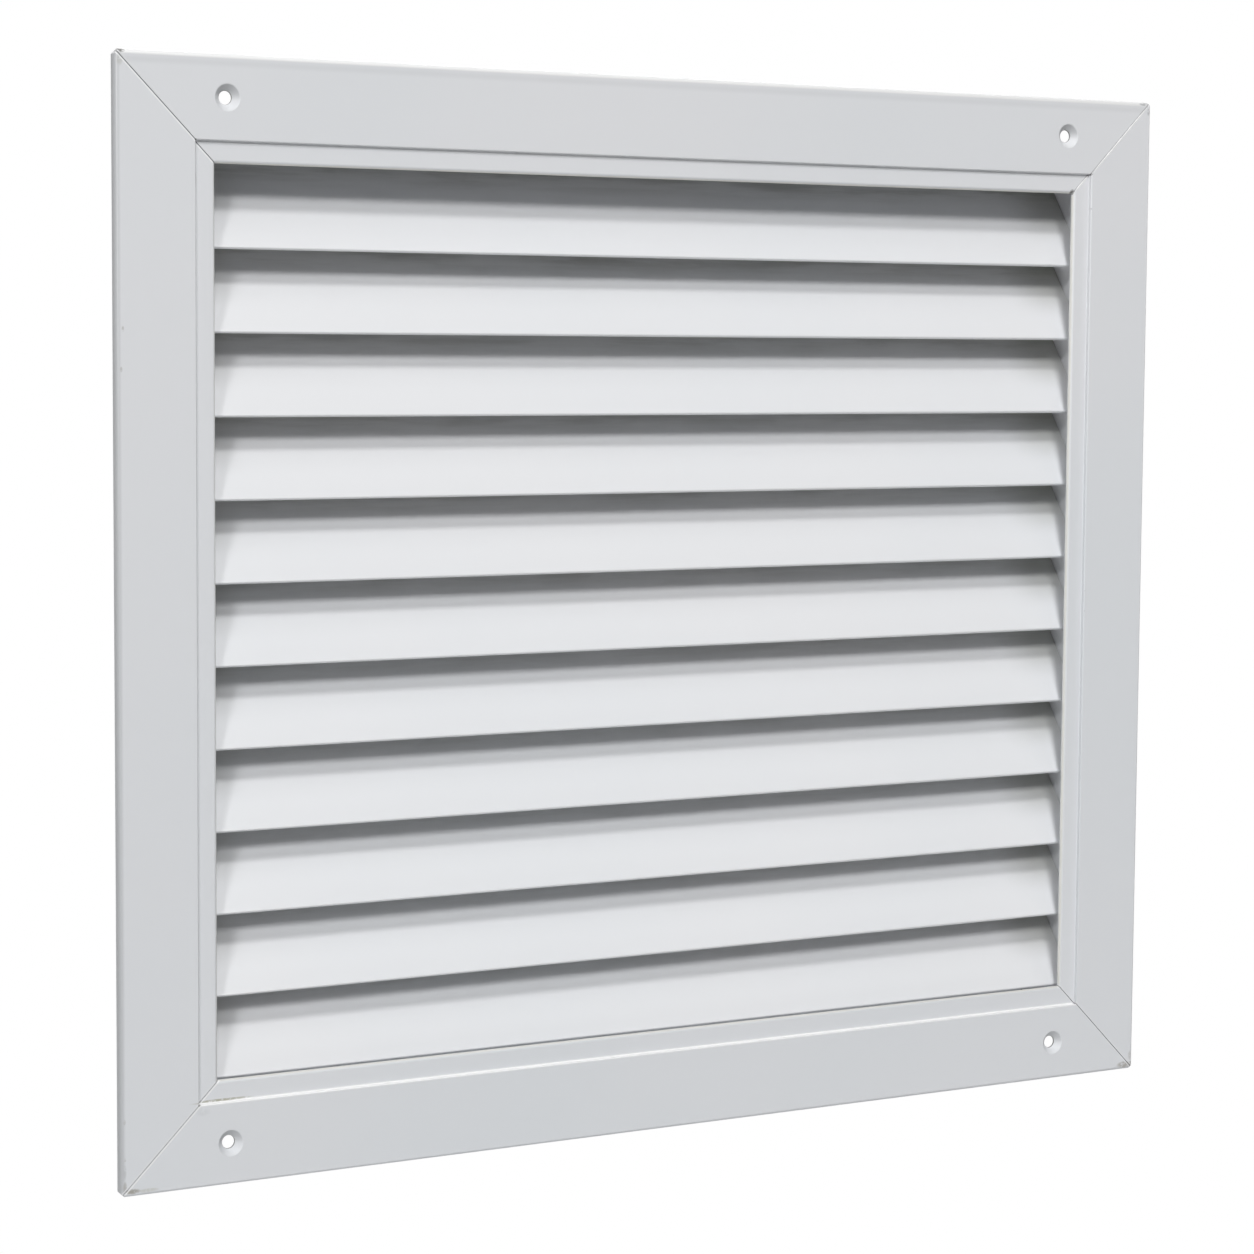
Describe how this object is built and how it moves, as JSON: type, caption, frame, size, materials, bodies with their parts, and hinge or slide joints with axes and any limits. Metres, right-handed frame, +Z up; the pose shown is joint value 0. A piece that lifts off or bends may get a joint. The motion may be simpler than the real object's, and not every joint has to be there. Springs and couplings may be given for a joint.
{
  "type": "return air grille",
  "caption": "Flanged rectangular grille with a mitred frame, a recessed inner band, a short neck and fixed sloping blades that hide the duct behind.",
  "frame": {"origin": "middle of the four fixing holes, on the wall face that the flange's return lip rests on", "axes": "+X along the blades to the right seen from the room, +Z up, +Y out of the room into the wall"},
  "size_m": [0.45, 0.04, 0.4],
  "materials": {
    "frame_coat": "satin white powder coat on extruded aluminium, grey with handling at the corners",
    "blade_coat": "satin white powder coat on extruded aluminium",
    "key_metal": "bare mill aluminium plate",
    "screw_steel": "bright zinc plate"
  },
  "bodies": {
    "root": {"frame_top_rail": "frame_coat", "frame_bottom_rail": "frame_coat", "frame_left_stile": "frame_coat", "frame_right_stile": "frame_coat", "blade_01": "blade_coat", "blade_02": "blade_coat", "blade_03": "blade_coat", "blade_04": "blade_coat", "blade_05": "blade_coat", "blade_06": "blade_coat", "blade_07": "blade_coat", "blade_08": "blade_coat", "blade_09": "blade_coat", "blade_10": "blade_coat", "blade_11": "blade_coat", "corner_key_top_left": "key_metal", "corner_key_top_right": "key_metal", "corner_key_bottom_left": "key_metal", "corner_key_bottom_right": "key_metal", "blade_screws_left": "screw_steel", "blade_screws_right": "screw_steel"}
  },
  "joints": []
}
